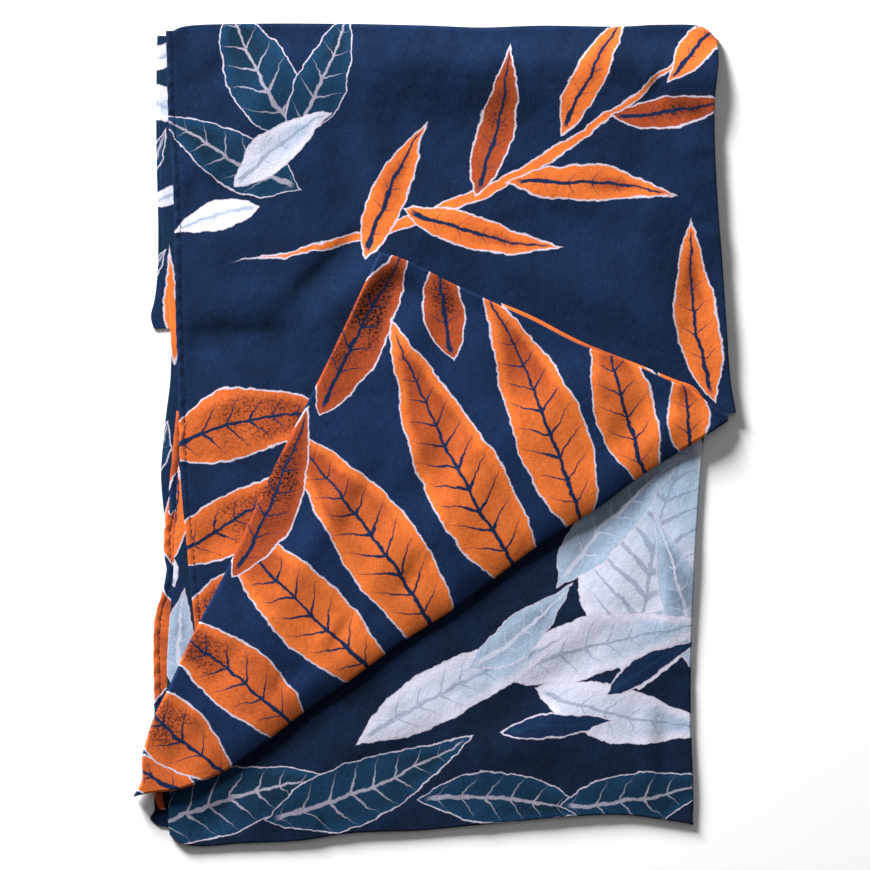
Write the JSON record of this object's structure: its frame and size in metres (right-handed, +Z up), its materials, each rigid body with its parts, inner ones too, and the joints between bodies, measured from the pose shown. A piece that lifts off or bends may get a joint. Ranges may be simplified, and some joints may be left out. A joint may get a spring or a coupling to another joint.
{
  "type": "square scarf",
  "caption": "Fine cotton square scarf, folded flat into a rectangle with one corner of its upper layers turned up, showing stitched hems and the paler cloth below.",
  "frame": {"origin": "on the surface that the folded scarf lies on, below the middle of its outline", "axes": "+Z up out of the surface, +Y along the folded scarf's long side towards its top fold, +X across it towards its right-hand fold"},
  "size_m": [0.325, 0.4439, 0.0113],
  "materials": {
    "cover_cloth": "matt printed cotton, mostly navy",
    "flap_cloth": "matt printed cotton, orange and navy",
    "lower_cloth": "matt printed cotton, navy, teal and pale lilac",
    "side_cloth": "matt printed cotton, navy and teal",
    "hem_cloth": "matt printed cotton, turned and stitched",
    "hidden_cloth": "matt cotton"
  },
  "bodies": {
    "root": {"cover_panel": "cover_cloth", "cover_hem": "cover_cloth", "turned_flap": "flap_cloth", "flap_inner_layer": "flap_cloth", "lower_panel": "lower_cloth", "wing_layer": "side_cloth", "side_layer": "side_cloth", "middle_layer": "side_cloth", "second_layer": "hem_cloth", "second_hem": "hem_cloth", "corner_hem": "hem_cloth", "corner_layer": "hidden_cloth", "hidden_layers": "hidden_cloth"}
  },
  "joints": []
}
